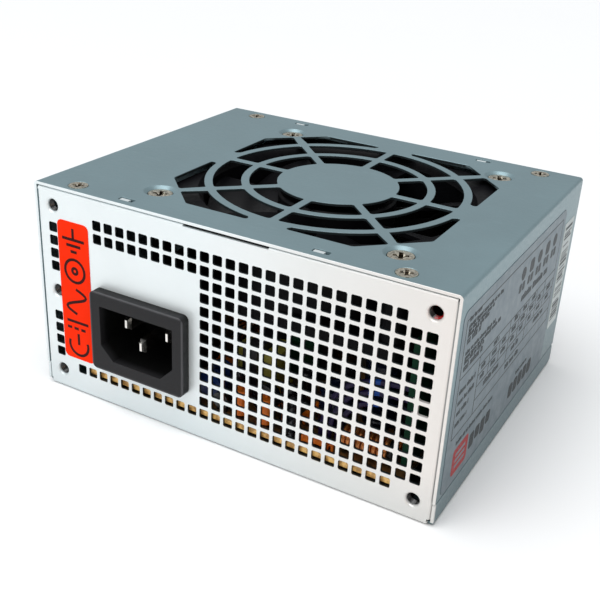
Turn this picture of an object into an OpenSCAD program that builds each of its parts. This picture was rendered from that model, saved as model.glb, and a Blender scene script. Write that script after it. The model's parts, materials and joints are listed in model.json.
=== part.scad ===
// Small-form-factor computer power supply: a folded steel case with a top fan,
// a mains inlet, a vented inlet panel and the switching board inside.
// +X runs along the inlet panel, +Y from the inlet panel to the cable panel, +Z up.
// The origin is the middle of the case's underside.

/* [Case] */
// Width of the case
case_w = 125; // [124:0.5:128]
// Depth of the case, from inlet panel to cable panel
case_d = 100; // [100:0.5:104]
// Height of the case
case_h = 63.5; // [63.5:0.5:66]
// Thickness of the sheet steel
sheet = 0.8; // [0.7:0.05:0.9]
// Height of the tray's flange that shows below the cover
flange_h = 6.7; // [6:0.1:7]
// Outside radius of the tray's bends
bend_r = 1.2; // [1:0.1:1.4]

/* [Case mounting] */
// Distance of the mounting holes from the case's edges
mount_inset = 6; // [5.5:0.1:6.5]
// Radius of the tapped mounting holes
mount_r = 1.75; // [1.5:0.05:1.8]

/* [Vent mesh] */
// Pitch of the square holes
mesh_pitch = 3.9; // [3.8:0.05:3.95]
// Side of one square hole
mesh_hole = 2.9; // [2.5:0.1:3]

/* [Fan] */
// Side of the fan's frame
fan_size = 80; // [79:0.5:80]
// Thickness of the fan's frame
fan_h = 25; // [25:0.5:25.5]
// Distance between the fan's screws
fan_screw_pitch = 71.5; // [71:0.5:72]
// How far the fan's axis is from the middle of the case
fan_x = 5.4; // [4:0.2:6]
// Number of blades
blades = 7; // [5:1:7]

/* [Inlet] */
// Width of the inlet's flange
inlet_w = 31.3; // [30:0.1:32]
// Height of the inlet's flange
inlet_h = 24.1; // [23:0.1:25]
// How far the inlet's flange stands out of the panel
inlet_proud = 3; // [2:0.1:3]

/* [Board] */
// Height of the board's underside above the case's underside
board_z = 7.2; // [7:0.1:7.8]
// Thickness of the board
board_t = 1.6; // [1.4:0.1:1.8]

/* [Hidden] */
$fn = 48;
fit = 0.1; // clearance between sheet metal pieces
thread_gap = 0.05; // radial clearance of a screw in its hole
half_w = case_w / 2;
half_d = case_d / 2;
mid_z = case_h / 2;
roof_z = case_h - sheet; // underside of the cover's roof
tray_top = roof_z - fit; // top of the tray's upper flanges
wall_y = half_d - sheet; // inside face of the two end panels
panel_x = half_w - sheet - 0.1; // outside face of the panels' side returns
side_r = 0.9; // outside radius of the side returns' bends
flat_x = panel_x - side_r; // where the flat of a panel ends
flat_y = half_d - bend_r;
bend_in = bend_r - sheet; // inside radius of the tray's bends
lip_depth = 9; // depth of the tray's upper flanges
cover_r = 1; // outside radius of the cover's bends
cover_foot = flange_h + 0.2; // lower edge of the cover's sides
mount_x = half_w - mount_inset;
mount_low = mount_inset;
mount_high = case_h - mount_inset;
collar = 2; // length of the tapped collar behind a mounting hole
mesh_cols = 30;
mesh_rows = 13;
slot_half = 12.7; // half the gap in the front upper flange
lip_end = panel_x - 0.3; // outer end of the upper flanges
seat_r = 3.95; // outside radius of the screw seats in the upper flanges
cover_screw_y = 45.6;
cover_screws_at = [[-50.5, -cover_screw_y], [47, -cover_screw_y], [-50.5, cover_screw_y], [50.5, cover_screw_y]];
tabs_at = [[-33, -46.6], [25.4, -46.6], [-33, 46.6], [32, 46.6]];
inlet_x = -26.4;
inlet_z = 25.1;
inlet_cut = [27.4, 19.8];
inlet_body = [27, 19.4];
inlet_back = -32.5; // rear face of the inlet's body
cavity = [24.6, 16.2];
cavity_z = inlet_z - 0.2;
cavity_floor = -34.6;
pin_pitch = 7; // live and neutral pins from the middle
line_pin_z = cavity_z + 2.2;
earth_pin_z = cavity_z - 1.8;
pin = [2, 4];
tab_end = -24.5; // rear end of the solder tabs
bushing_x = 38;
bushing_z = 20;
bushing_r = 8;
grille_r = [17.4, 25.3, 27.6, 35.6, 37.9]; // hub disc, slot, ring, slot, ring
grille_half = 39.4;
grille_corner = 64; // |x| + |y| along the cut corners
spoke_w = 2.3;
fan_seat = case_h - 2.3; // top of the fan's frame
fan_floor = fan_seat - fan_h;
fan_bore = 38.2;
fan_rim = 4; // thickness of the frame's two rims
fan_screw = fan_screw_pitch / 2;
fan_screw_sink = 0.8; // how far the fan screws' heads lie below the roof
hub_r = 17;
blade_tip = 37.4;
shaft_r = 1.5;
board_top = board_z + board_t;
board_x = [-47.5, 52.5];
board_y = [-48.8, 43.8];
standoffs_at = [[-44, -44], [49, -3], [-44, 40.5], [49, 40.5]];
earth_at = [-54.5, -30];
heatsink_h = 25;
plug_at = [0.4, 39];

// ---- Outlines and small shapes ----

// Points on an arc about [x, y], from angle a to angle b.
function arc(x, y, r, a, b, n = 6) = [for (i = [0:n]) [x + r * cos(a + (b - a) * i / n), y + r * sin(a + (b - a) * i / n)]];

// A rectangle about [x, y] with round corners.
function rounded(x, y, w, h, r, n = 5) = concat(
    arc(x + w / 2 - r, y + h / 2 - r, r, 0, 90, n), arc(x - w / 2 + r, y + h / 2 - r, r, 90, 180, n),
    arc(x - w / 2 + r, y - h / 2 + r, r, 180, 270, n), arc(x + w / 2 - r, y - h / 2 + r, r, 270, 360, n));

// A square of side w about [x, y], and one with its corners cut by c.
function square_about(x, y, w) = [for (s = [[1, 1], [-1, 1], [-1, -1], [1, -1]]) [x + s[0] * w / 2, y + s[1] * w / 2]];
function cut_square(x, y, w, c) = let (a = w / 2, b = w / 2 - c)
    [for (p = [[a, b], [b, a], [-b, a], [-a, b], [-a, -b], [-b, -a], [b, -a], [a, -b]]) [x, y] + p];

// A plate with holes: the first loop is its outline and the others are holes.
module plate(loops, h) {
    starts = [for (i = 0, s = 0; i <= len(loops); s = s + (i < len(loops) ? len(loops[i]) : 0), i = i + 1) s];
    linear_extrude(h)
        polygon([for (loop = loops) each loop], [for (i = [0:len(loops) - 1]) [for (k = [starts[i]:starts[i + 1] - 1]) k]]);
}

module box(low, high) {
    translate(low) cube(high - low);
}

// A shape drawn in the YZ plane, extruded along X from -half to half.
module along_x(half) {
    translate([-half, 0, 0]) rotate([90, 0, 90]) linear_extrude(2 * half) children();
}

// A shape drawn in the XZ plane, extruded along Y from y0 to y1.
module along_y(y0, y1) {
    translate([0, y1, 0]) rotate([90, 0, 0]) linear_extrude(y1 - y0) children();
}

module both_sides() {
    children();
    mirror([1, 0, 0]) children();
}

module at(points) {
    for (p = points) translate([p[0], p[1], 0]) children();
}

module disc(r, z0, z1) {
    translate([0, 0, z0]) cylinder(r = r, h = z1 - z0);
}

module ring(r_out, r_in, z0, z1) {
    difference() {
        disc(r_out, z0, z1);
        disc(r_in, z0 - 1, z1 + 1);
    }
}

// A cross recess, cut down from height z.
module cross_recess(z, size, depth) {
    for (a = [0, 90])
        rotate([0, 0, a + 20]) translate([-size / 2, -size / 7, z - depth]) cube([size, size / 3.5, depth + 1]);
    translate([0, 0, z - depth * 1.5]) cylinder(r1 = size / 9, r2 = size / 3.1, h = depth * 1.5 + 0.01);
}

// A flat-head screw whose head's top is at height z. The head has a straight rim above its cone.
module flat_screw(z, head_r, shank_r, length, rim = 0.26) {
    drop = head_r - shank_r;
    difference() {
        union() {
            disc(head_r, z - rim, z);
            translate([0, 0, z - rim - drop]) cylinder(r1 = shank_r, r2 = head_r, h = drop + 0.01);
            disc(shank_r, z - length, z - rim - drop + 0.05);
        }
        cross_recess(z, head_r * 1.2, head_r * 0.3);
    }
}

// A pan-head screw whose head stands on height z.
module pan_screw(z, head_r, shank_r, length) {
    difference() {
        union() {
            disc(head_r, z, z + 1.2);
            translate([0, 0, z + 1.2]) cylinder(r1 = head_r, r2 = head_r * 0.7, h = 0.6);
            disc(shank_r, z - length, z + 0.1);
        }
        cross_recess(z + 1.8, head_r * 1.1, 0.8);
    }
}

// A point on a cubic curve, and a whole curve of n steps.
function bezier(p, t) = pow(1 - t, 3) * p[0] + 3 * pow(1 - t, 2) * t * p[1] + 3 * (1 - t) * t * t * p[2] + pow(t, 3) * p[3];
function curve(p, n) = [for (i = [0:n]) bezier(p, i / n)];
function unit(v) = v / norm(v);

// A round wire of radius r along a path of points that nowhere runs along the direction aside.
module wire(path, r, aside = [1, 0, 0], sides = 8) {
    n = len(path);
    ahead = [for (i = [0:n - 1]) unit(path[min(i + 1, n - 1)] - path[max(i - 1, 0)])];
    across = [for (d = ahead) unit(cross(d, aside))];
    points = [for (i = [0:n - 1]) let (u = across[i], v = cross(ahead[i], u))
        for (k = [0:sides - 1]) path[i] + r * (u * cos(360 * k / sides) + v * sin(360 * k / sides))];
    walls = [for (i = [0:n - 2], k = [0:sides - 1]) let (a = i * sides + k, b = i * sides + (k + 1) % sides)
        each [[a, b + sides, b], [a, a + sides, b + sides]]];
    ends = [[for (k = [0:sides - 1]) k], [for (k = [sides - 1:-1:0]) (n - 1) * sides + k]];
    polyhedron(points, concat(walls, ends));
}

// ---- Case ----

// The four tapped corner holes and the middle hole of the inlet panel.
mount_points = [[-mount_x, mount_high], [mount_x, mount_high], [-mount_x, mount_low], [mount_x, mount_low], [-mount_x, mid_z]];

function mesh_x(i) = (i - (mesh_cols - 1) / 2) * mesh_pitch;
function mesh_z(r) = mid_z + ((mesh_rows - 1) / 2 - r) * mesh_pitch;

// Which squares of the grid are open, by column i and row r from the top.
function open_square(i, r) =
    r == 0 ? i >= 4 && i <= 27 :
    r == 12 ? i >= 2 && i <= 27 :
    i == 0 ? r <= 4 || r >= 8 :
    r == 1 ? i >= 4 : i >= 13;

// The outline of an end panel's flat part.
end_outline = [
    [-flat_x, bend_r], [flat_x, bend_r], [flat_x, tray_top - bend_r], [slot_half, tray_top - bend_r],
    [slot_half, tray_top - 0.7], [-slot_half, tray_top - 0.7], [-slot_half, tray_top - bend_r],
    [-flat_x, tray_top - bend_r]];
mount_pad = 6.4;
bushing_pad = 2 * bushing_r + 6;

// A square of the panel with the tapped, collared mounting hole in its middle.
module mount_hole_pad() {
    rotate([-90, 0, 0]) difference() {
        union() {
            translate([-mount_pad / 2, -mount_pad / 2, 0]) cube([mount_pad, mount_pad, sheet]);
            cylinder(r = mount_r + 0.9, h = sheet + collar);
        }
        translate([0, 0, -1]) cylinder(r = mount_r, h = 6);
        rotate_extrude() polygon(concat([[0, -1], [mount_r + 0.9, -1]], arc(mount_r + 0.9, 0.9, 0.9, 270, 180, 5), [[0, 0.9]]));
    }
}

module front_plate() {
    squares = [for (r = [0:mesh_rows - 1], i = [0:mesh_cols - 1]) if (open_square(i, r))
        cut_square(mesh_x(i), mesh_z(r), mesh_hole, mesh_hole / 9)];
    pads = [for (p = mount_points) square_about(p[0], p[1], mount_pad)];
    inlet_hole = rounded(inlet_x, inlet_z, inlet_cut[0], inlet_cut[1], 1, 2);
    translate([0, -wall_y, 0]) rotate([90, 0, 0]) plate(concat([end_outline, inlet_hole], pads, squares), sheet);
    for (p = mount_points) translate([p[0], -half_d, p[1]]) mount_hole_pad();
}

module back_plate() {
    vents = [for (i = [0:12]) rounded(-53 + 4.4 * i, 20, 2.2, 24, 1.1, 3)];
    pad = square_about(bushing_x, bushing_z, bushing_pad);
    translate([0, half_d, 0]) rotate([90, 0, 0]) plate(concat([end_outline, pad], vents), sheet);
    translate([bushing_x, half_d, bushing_z]) rotate([90, 0, 0]) difference() {
        translate([-bushing_pad / 2, -bushing_pad / 2, 0]) cube([bushing_pad, bushing_pad, sheet]);
        translate([0, 0, -1]) cylinder(r = bushing_r + 1.5, h = 4);
    }
}

// The bottom sheet and both end bends, drawn in the YZ plane.
module bottom_profile() {
    for (s = [0, 1]) mirror([s, 0]) polygon(concat([[-0.01, 0]], arc(flat_y, bend_r, bend_r, 270, 360),
        arc(flat_y, bend_r, bend_in, 360, 270), [[-0.01, sheet]]));
}

// The bend and upper flange of both ends, drawn in the YZ plane.
module lip_profile() {
    lip = half_d - lip_depth;
    for (s = [0, 1]) mirror([s, 0]) polygon(concat([[lip, tray_top], [lip, tray_top - sheet]],
        arc(flat_y, tray_top - bend_r, bend_in, 90, 0), arc(flat_y, tray_top - bend_r, bend_r, 0, 90)));
}

// Everything under the outer skin of the two lips, drawn in the YZ plane.
module lip_envelope() {
    polygon(concat([[-half_d, tray_top - 4], [half_d, tray_top - 4]], arc(flat_y, tray_top - bend_r, bend_r, 0, 90),
        arc(-flat_y, tray_top - bend_r, bend_r, 90, 180)));
}

// The return flange at the right edge of an end panel.
module side_return() {
    y = side_r - half_d;
    translate([0, 0, 1.9]) linear_extrude(tray_top - 2.9)
        polygon(concat(arc(flat_x, y, side_r, 270, 360), [[panel_x, -43], [panel_x - sheet, -43]],
            arc(flat_x, y, side_r - sheet, 360, 270)));
}

// The side flange: the part that shows, its corner bend, and the offset part behind the cover.
module side_flange() {
    along_y(-flat_y, flat_y)
        polygon(concat([[flat_x, 0]], arc(half_w - 1, 1, 1, 270, 360), [[half_w, flange_h - 1], [half_w - sheet, flange_h - 1]],
            arc(half_w - 1, 1, 1 - sheet, 360, 270), [[flat_x, sheet]]));
    translate([half_w - sheet, 0, 0]) rotate([90, 0, 90]) linear_extrude(sheet)
        polygon(concat([[half_d - 0.3, 1.2]], arc(half_d - 1.3, flange_h - 1, 1, 0, 90),
            arc(1.3 - half_d, flange_h - 1, 1, 90, 180), [[0.3 - half_d, 1.2]]));
    behind = half_w - sheet - fit;
    along_y(-42.5, 42.5)
        polygon([[half_w, flange_h], [behind, flange_h], [behind, 16], [behind - sheet, 16],
            [behind - sheet, flange_h - sheet], [half_w, flange_h - sheet]]);
}

// The dished seat in the upper flange, with its tapped collar.
module flange_seat() {
    rotate_extrude() polygon([
        [seat_r, tray_top], [3.75, tray_top], [2.6, tray_top - 1.25], [1.5 + thread_gap, tray_top - 1.25],
        [1.5 + thread_gap, tray_top - 3.3], [2.35, tray_top - 3.3], [2.35, tray_top - 2], [seat_r, tray_top - sheet]]);
}

// The bottom sheet with its standoff and earth holes.
module tray_bottom() {
    difference() {
        along_x(flat_x + 0.2) bottom_profile();
        at(standoffs_at) disc(1.95, -1, 2);
        translate([earth_at[0], earth_at[1], 0]) disc(1.5 + thread_gap, -1, 2);
    }
}

// The upper flanges with their locating tabs, and holes for the screw seats.
module tray_lips() {
    difference() {
        union() {
            both_sides() translate([(lip_end + slot_half) / 2, 0, 0]) along_x((lip_end - slot_half) / 2) lip_profile();
            at(tabs_at) translate([-2.1, -0.7, tray_top - 0.1]) cube([2.9, 1.4, 0.8]);
        }
        at(cover_screws_at) disc(seat_r, tray_top - 1.5, tray_top + 1);
        at(tabs_at) translate([0.8, -0.7, tray_top - 1.5]) cube([1.4, 1.4, 2]);
    }
}

module base_tray() {
    color([0.86, 0.88, 0.89]) {
        tray_bottom();
        tray_lips();
        front_plate();
        back_plate();
        intersection() {
            at(cover_screws_at) flange_seat();
            along_x(half_w) lip_envelope();
        }
        both_sides() {
            side_return();
            mirror([0, 1, 0]) side_return();
            side_flange();
        }
    }
}

// One of the grille's annular slots, between the spokes at angles a and a + 45.
function slot_loop(r1, r2, a, f = 0.8) = let (
    b = a + 45, half = spoke_w / 2 + f,
    po = asin(half / (r2 - f)), pi = asin(half / (r1 + f)), ro = r2 - f, ri = r1 + f)
    concat(
        arc(ro * cos(a + po), ro * sin(a + po), f, a - 90, a + po, 3),
        arc(0, 0, r2, a + po + 3, b - po - 3, 6),
        arc(ro * cos(b - po), ro * sin(b - po), f, b - po, b + 90, 3),
        arc(ri * cos(b - pi), ri * sin(b - pi), f, b + 90, b - pi + 180, 3),
        arc(0, 0, r1, b - pi - 3, a + pi + 3, 6),
        arc(ri * cos(a + pi), ri * sin(a + pi), f, a + pi + 180, a + 270, 3));

// The slot between the outer ring, the square edge, the cut corner and the diagonal spoke.
function corner_slot() = let (
    r = grille_r[4], h = grille_half, c = grille_corner, w = spoke_w / 2 * sqrt(2), end = 10, top = 45 - asin(spoke_w / 2 / r))
    concat(
        arc(h - 0.8, 6.6, 0.8, 250, 360, 4),
        [[h, c - h - 0.4], [h - 0.3, c - h + 0.3]],
        [[(c + w) / 2 + 0.4, (c - w) / 2 - 0.4], [(c + w) / 2 - 0.4, (c - w) / 2 - 0.4]],
        arc(0, 0, r, top - 0.6, end, 9));

module fan_grille_plate() {
    o = [fan_x, 0];
    rings = [for (k = [0:7], s = [0, 2]) slot_loop(grille_r[s], grille_r[s + 1], 45 * k)];
    eighth = corner_slot();
    corners = [for (q = [0:3], m = [0, 1])
        [for (p = eighth) let (v = m == 0 ? p : [p[1], p[0]])
            [v[0] * cos(90 * q) - v[1] * sin(90 * q), v[0] * sin(90 * q) + v[1] * cos(90 * q)]]];
    windows = [for (t = tabs_at) rounded(t[0], t[1], 4.7, 1.9, 0.4, 2)];
    outline = [[-half_w + cover_r, -half_d], [half_w - cover_r, -half_d], [half_w - cover_r, half_d], [-half_w + cover_r, half_d]];
    slots = [for (loop = concat(rings, corners)) [for (p = loop) p + o]];
    translate([0, 0, roof_z]) plate(concat([outline], slots, windows), sheet);
}

module fan_screw_points() {
    for (x = [-1, 1], y = [-1, 1]) translate([fan_x + x * fan_screw, y * fan_screw, 0]) children();
}

// A dished screw seat in the cover's roof: rim radius, head radius, head height, hole radius, foot.
module dish(rim, head, top, hole, foot) {
    cone = top - (head - hole);
    brow = (rim - head) * 0.3;
    rotate_extrude() polygon([[rim, case_h], [rim - brow, case_h - brow * 0.3], [head, top], [hole, cone], [hole, foot],
        [hole + 0.9, foot], [rim, roof_z]]);
}

module cover() {
    color([0.53, 0.6, 0.62]) {
        difference() {
            fan_grille_plate();
            fan_screw_points() disc(4.75, roof_z - 1, case_h + 1);
            at(cover_screws_at) disc(3.6, roof_z - 1, case_h + 1);
        }
        fan_screw_points() dish(4.75, 3.62, case_h - fan_screw_sink, 2.3, fan_seat);
        at(cover_screws_at) dish(3.6, 2.95, case_h - 0.05, 1.6, roof_z - 1.25);
        both_sides() along_y(-half_d, half_d)
            polygon(concat([[half_w, cover_foot]], arc(half_w - cover_r, case_h - cover_r, cover_r, 0, 90),
                arc(half_w - cover_r, case_h - cover_r, cover_r - sheet, 90, 0), [[half_w - sheet, cover_foot]]));
    }
}

module cover_screws() {
    color([0.75, 0.73, 0.68]) at(cover_screws_at) flat_screw(case_h - 0.05, 2.64, 1.5, 6);
}

module fan_screws() {
    color([0.75, 0.7, 0.6]) fan_screw_points() flat_screw(case_h - fan_screw_sink, 3.3, 2.2, 11);
}

module voltage_label() {
    color([0.95, 0.16, 0.05]) translate([0, -half_d, 0]) rotate([90, 0, 0])
        plate([rounded(-49.45, mid_z + 1.1, 10.9, 42.8, 1.6)], 0.12);
}

module side_label(y, z, w, h, r) {
    translate([half_w, 0, 0]) rotate([90, 0, 90]) plate([rounded(y, z, w, h, r)], 0.12);
}

module rating_label() {
    color([0.62, 0.65, 0.68]) side_label(-5.8, 32.75, 83.4, 50.9, 2.5);
}

module serial_label() {
    color([0.85, 0.87, 0.87]) side_label(42, 35, 9.6, 35, 0.5);
}

module cable_bushing() {
    color([0.1, 0.1, 0.1]) translate([bushing_x, 0, bushing_z]) rotate([-90, 0, 0]) rotate_extrude() polygon([
        [bushing_r, half_d - 2.8], [bushing_r + 2.2, half_d - 2.8], [bushing_r + 3, half_d - 1.6],
        [bushing_r + 3, half_d - sheet - 0.02], [bushing_r + 1.45, half_d - sheet - 0.02], [bushing_r + 1.45, half_d + 0.02],
        [bushing_r + 4, half_d + 0.02], [bushing_r + 4, half_d + 1.6], [bushing_r + 2.8, half_d + 3], [bushing_r, half_d + 3]]);
}

module insulation_sheet() {
    color([0.12, 0.12, 0.12]) difference() {
        box([-49.5, -47, sheet], [54, 45, sheet + 0.3]);
        at(standoffs_at) disc(3.4, 0, 3);
    }
}

// ---- Mains inlet ----

// The socket's outline: a rectangle with its two lower corners cut off.
function socket_outline(w, h, cut) = [
    [-w / 2, h / 2], [-w / 2, -h / 2 + cut], [-w / 2 + cut, -h / 2], [w / 2 - cut, -h / 2], [w / 2, -h / 2 + cut], [w / 2, h / 2]];

module inlet_pin_holes(gap) {
    for (x = [-pin_pitch, pin_pitch]) translate([inlet_x + x, 0, line_pin_z]) inlet_blade(-38, -30, gap);
    translate([inlet_x, 0, earth_pin_z]) inlet_blade(-38, -30, gap);
}

// A contact blade's end, with a tip that is chamfered on all four sides.
module tapered_tip(tip) {
    intersection() {
        translate([0, 0, -pin[1]]) linear_extrude(2 * pin[1])
            polygon([[-0.35, tip], [0.35, tip], [pin[0] / 2, tip + 1.3], [pin[0] / 2, tip + 2], [-pin[0] / 2, tip + 2], [-pin[0] / 2, tip + 1.3]]);
        along_x(pin[0])
            polygon([[tip, -1.2], [tip, 1.2], [tip + 1.3, pin[1] / 2], [tip + 2, pin[1] / 2], [tip + 2, -pin[1] / 2], [tip + 1.3, -pin[1] / 2]]);
    }
}

module inlet_blade(y0, y1, gap = 0) {
    box([-pin[0] / 2 - gap, y0, -pin[1] / 2 - gap], [pin[0] / 2 + gap, y1, pin[1] / 2 + gap]);
}

module inlet_housing() {
    color([0.13, 0.13, 0.14]) difference() {
        union() {
            translate([0, -half_d, 0]) rotate([90, 0, 0]) plate([rounded(inlet_x, inlet_z, inlet_w, inlet_h, 1.6)], inlet_proud);
            translate([0, inlet_back, 0]) rotate([90, 0, 0])
                plate([rounded(inlet_x, inlet_z, inlet_body[0], inlet_body[1], 0.8, 2)], half_d + inlet_back + 0.1);
            for (s = [-1, 1]) translate([inlet_x, 0, inlet_z - 5]) linear_extrude(10)
                polygon([[s * 13.3, -49.15], [s * 14.7, -49.15], [s * 14.7, -48.4], [s * 13.3, -42]]);
        }
        translate([inlet_x, cavity_floor, cavity_z]) rotate([90, 0, 0])
            plate([socket_outline(cavity[0], cavity[1], 4.2)], 30);
        inlet_pin_holes(0.03);
    }
}

// One contact: a blade with a tapered tip, and the thinner tab behind the housing.
module contact(x, z, tip) {
    translate([inlet_x + x, 0, z]) {
        inlet_blade(tip + 1.9, inlet_back + 0.4);
        tapered_tip(tip);
        difference() {
            box([-0.4, inlet_back + 0.3, -2.4], [0.4, tab_end, 2.4]);
            translate([-1, tab_end - 2.4, 0]) rotate([0, 90, 0]) cylinder(r = 0.8, h = 2);
        }
    }
}

module inlet_line_pins() {
    color([0.8, 0.8, 0.78]) for (x = [-pin_pitch, pin_pitch]) contact(x, line_pin_z, -48.3);
}

module inlet_earth_pin() {
    color([0.8, 0.8, 0.78]) contact(0, earth_pin_z, -50.8);
}

module mains_wires() {
    color([0.35, 0.2, 0.12]) {
        wire(curve([[-33.4, tab_end + 0.1, line_pin_z], [-33.4, -17, line_pin_z], [-37, -19, 20], [-37, -19, board_top + 0.1]], 14), 1);
        wire(curve([[-19.4, tab_end + 0.1, line_pin_z], [-19.4, -18, line_pin_z], [-24, -20, 20], [-24, -20, board_top + 0.1]], 14), 1);
    }
}

module earth_wire() {
    color([0.3, 0.55, 0.2]) {
        wire(curve([[inlet_x, tab_end + 0.35, earth_pin_z], [inlet_x, -10, 30], [-56, -22, 44], [earth_at[0], -25, 1.2]], 20), 1, [1, 1, -1]);
        translate([earth_at[0], earth_at[1], 0]) difference() {
            union() {
                disc(3.2, sheet, sheet + 0.6);
                translate([-1.2, 2.6, sheet]) cube([2.4, 3.4, 0.6]);
            }
            disc(1.7, 0, 3);
        }
    }
}

module earth_screw() {
    color([0.75, 0.73, 0.68]) translate([earth_at[0], earth_at[1], 0]) pan_screw(sheet + 0.6, 2.8, 1.5, 1.35);
}

// ---- Fan ----

module fan_place() {
    translate([fan_x, 0, 0]) children();
}

module fan_rim_plate(z) {
    translate([0, 0, z]) plate([rounded(0, 0, fan_size, fan_size, 4)], fan_rim);
}

module fan_frame() {
    color([0.12, 0.12, 0.13]) fan_place() {
        difference() {
            union() {
                fan_rim_plate(fan_floor);
                fan_rim_plate(fan_seat - fan_rim);
                disc(fan_bore + 1.5, fan_floor + 1, fan_seat - 1);
                for (x = [-1, 1], y = [-1, 1]) translate([x * fan_screw, y * fan_screw, 0])
                    disc(3.7, fan_floor + 1, fan_seat - 1);
            }
            disc(fan_bore, fan_floor - 1, fan_seat + 1);
            translate([0, 0, fan_seat - 2]) cylinder(r1 = fan_bore, r2 = fan_bore + 1.5, h = 2.01);
            for (x = [-1, 1], y = [-1, 1]) translate([x * fan_screw, y * fan_screw, 0])
                disc(2.2 + thread_gap, fan_floor - 1, fan_seat + 1);
        }
        difference() {
            union() {
                disc(16.5, fan_floor, fan_floor + 2.5);
                for (a = [45:90:315]) rotate([0, 0, a]) box([15, -1.6, fan_floor], [fan_bore + 0.5, 1.6, fan_floor + 3]);
                disc(3.4, fan_floor + 2, fan_floor + 16.5);
            }
            disc(2.6, fan_floor + 1.5, fan_seat);
            translate([-10, 0, 0]) disc(1.9, fan_floor - 1, fan_floor + 4);
        }
    }
}

// A cambered blade: a piece of a tube that lies along X, cut to the blade's outline.
module blade() {
    intersection() {
        difference() {
            translate([0, -19.4, fan_floor - 18]) rotate([0, 90, 0]) cylinder(r = 40.6, h = 60);
            translate([-1, -19.4, fan_floor - 18]) rotate([0, 90, 0]) cylinder(r = 39.4, h = 62);
        }
        translate([0, 0, fan_floor + 5]) linear_extrude(18)
            polygon([[16, -6.2], [24, -10], [38, -15.5], [38, 8.5], [24, 7.5], [16, 6.2]]);
        ring(blade_tip, hub_r - 0.7, fan_floor, fan_seat);
    }
}

module fan_impeller() {
    color([0.1, 0.1, 0.11]) fan_place() {
        difference() {
            union() {
                disc(hub_r, fan_floor + 4.5, fan_seat - 1.2);
                translate([0, 0, fan_seat - 1.2]) cylinder(r1 = hub_r, r2 = hub_r - 0.6, h = 0.6);
            }
            disc(hub_r - 1.5, fan_floor + 4, fan_seat - 2.1);
        }
        for (k = [0:blades - 1]) rotate([0, 0, 360 * k / blades]) blade();
    }
}

cup_top = fan_seat - 2.1;

module fan_rotor_cup() {
    color([0.6, 0.6, 0.6]) fan_place() difference() {
        disc(hub_r - 1.55, fan_floor + 5.5, cup_top);
        disc(hub_r - 2.35, fan_floor + 5, cup_top - 0.8);
        disc(shaft_r, fan_floor, fan_seat);
    }
}

module fan_magnet() {
    color([0.2, 0.2, 0.2]) fan_place() ring(hub_r - 2.4, hub_r - 4, fan_floor + 6.5, fan_floor + 18);
}

module fan_shaft() {
    color([0.8, 0.8, 0.8]) fan_place() {
        disc(shaft_r, fan_floor + 2.2, cup_top);
        translate([0, 0, fan_floor + 2]) cylinder(r1 = shaft_r - 0.3, r2 = shaft_r, h = 0.21);
    }
}

module fan_bearing() {
    color([0.75, 0.6, 0.35]) fan_place() ring(2.58, shaft_r + thread_gap, fan_floor + 4, fan_floor + 16.3);
}

module fan_shaft_clip() {
    color([0.9, 0.9, 0.9]) fan_place() ring(2.3, shaft_r, fan_floor + 3, fan_floor + 3.4);
}

module fan_stator() {
    color([0.45, 0.46, 0.48]) fan_place() difference() {
        union() {
            ring(5, 3.45, fan_floor + 8, fan_floor + 15);
            for (a = [0:90:270]) rotate([0, 0, a]) box([4.5, -1.5, fan_floor + 8], [12, 1.5, fan_floor + 15]);
            intersection() {
                ring(12.5, 11, fan_floor + 8, fan_floor + 15);
                for (a = [0:90:270]) rotate([0, 0, a]) box([8, -6.5, fan_floor + 7], [14, 6.5, fan_floor + 16]);
            }
        }
        disc(3.45, fan_floor, fan_seat);
    }
}

module fan_coils() {
    color([0.8, 0.42, 0.2]) fan_place() for (a = [0:90:270]) rotate([0, 0, a]) difference() {
        box([5.6, -3.2, fan_floor + 6.3], [10.3, 3.2, fan_floor + 16.7]);
        box([5, -1.55, fan_floor + 7.95], [12, 1.55, fan_floor + 15.05]);
    }
}

module fan_circuit_board() {
    color([0.1, 0.35, 0.2]) fan_place() {
        difference() {
            disc(13.5, fan_floor + 2.5, fan_floor + 3.5);
            disc(3.5, fan_floor, fan_floor + 6);
        }
        box([6, 4, fan_floor + 3.5], [9, 8, fan_floor + 4.6]);
    }
}

module fan_leads() {
    color([0.7, 0.1, 0.1]) for (s = [-1, 1]) {
        x = fan_x - 10 + 0.75 * s;
        end_x = plug_at[0] + 1.25 * s;
        wire(concat(
            [[x, 0, fan_floor + 2.5], [x, 0, fan_floor + 0.6], [x, 0.2, fan_floor - 0.2], [x, 1, fan_floor - 0.8]],
            curve([[x, 3, fan_floor - 1], [x, 26, fan_floor - 1], [end_x, plug_at[1] - 4, fan_floor - 1],
                [end_x, plug_at[1], board_top + 7.6]], 12)), 0.55);
    }
}

module fan_plug() {
    color([0.9, 0.9, 0.86]) translate([plug_at[0], plug_at[1], board_top]) difference() {
        union() {
            translate([-3.7, -3, 0]) cube([7.4, 5.8, 3.2]);
            translate([-3.7, 1.6, 3.2]) cube([7.4, 1.2, 4.6]);
            translate([-3.1, -2.6, 3.2]) cube([6.2, 4.2, 5]);
        }
        for (s = [-1, 1]) translate([1.25 * s, 0, 7.4]) cylinder(r = 0.75, h = 2);
    }
}

// ---- Board and its parts ----

module main_board() {
    color([0.72, 0.55, 0.33]) difference() {
        box([board_x[0], board_y[0], board_z], [board_x[1], board_y[1], board_top]);
        at(standoffs_at) disc(1.6, 0, 20);
    }
}

module board_standoffs() {
    color([0.78, 0.65, 0.35]) at(standoffs_at) difference() {
        union() {
            translate([0, 0, sheet]) cylinder(r = 2.9, h = board_z - sheet, $fn = 6);
            disc(1.9, 0.1, sheet + 0.1);
        }
        disc(1.25 + thread_gap, 1.8, board_z + 1);
    }
}

module board_screws() {
    color([0.75, 0.73, 0.68]) at(standoffs_at) pan_screw(board_top, 2.7, 1.25, 6);
}

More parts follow.
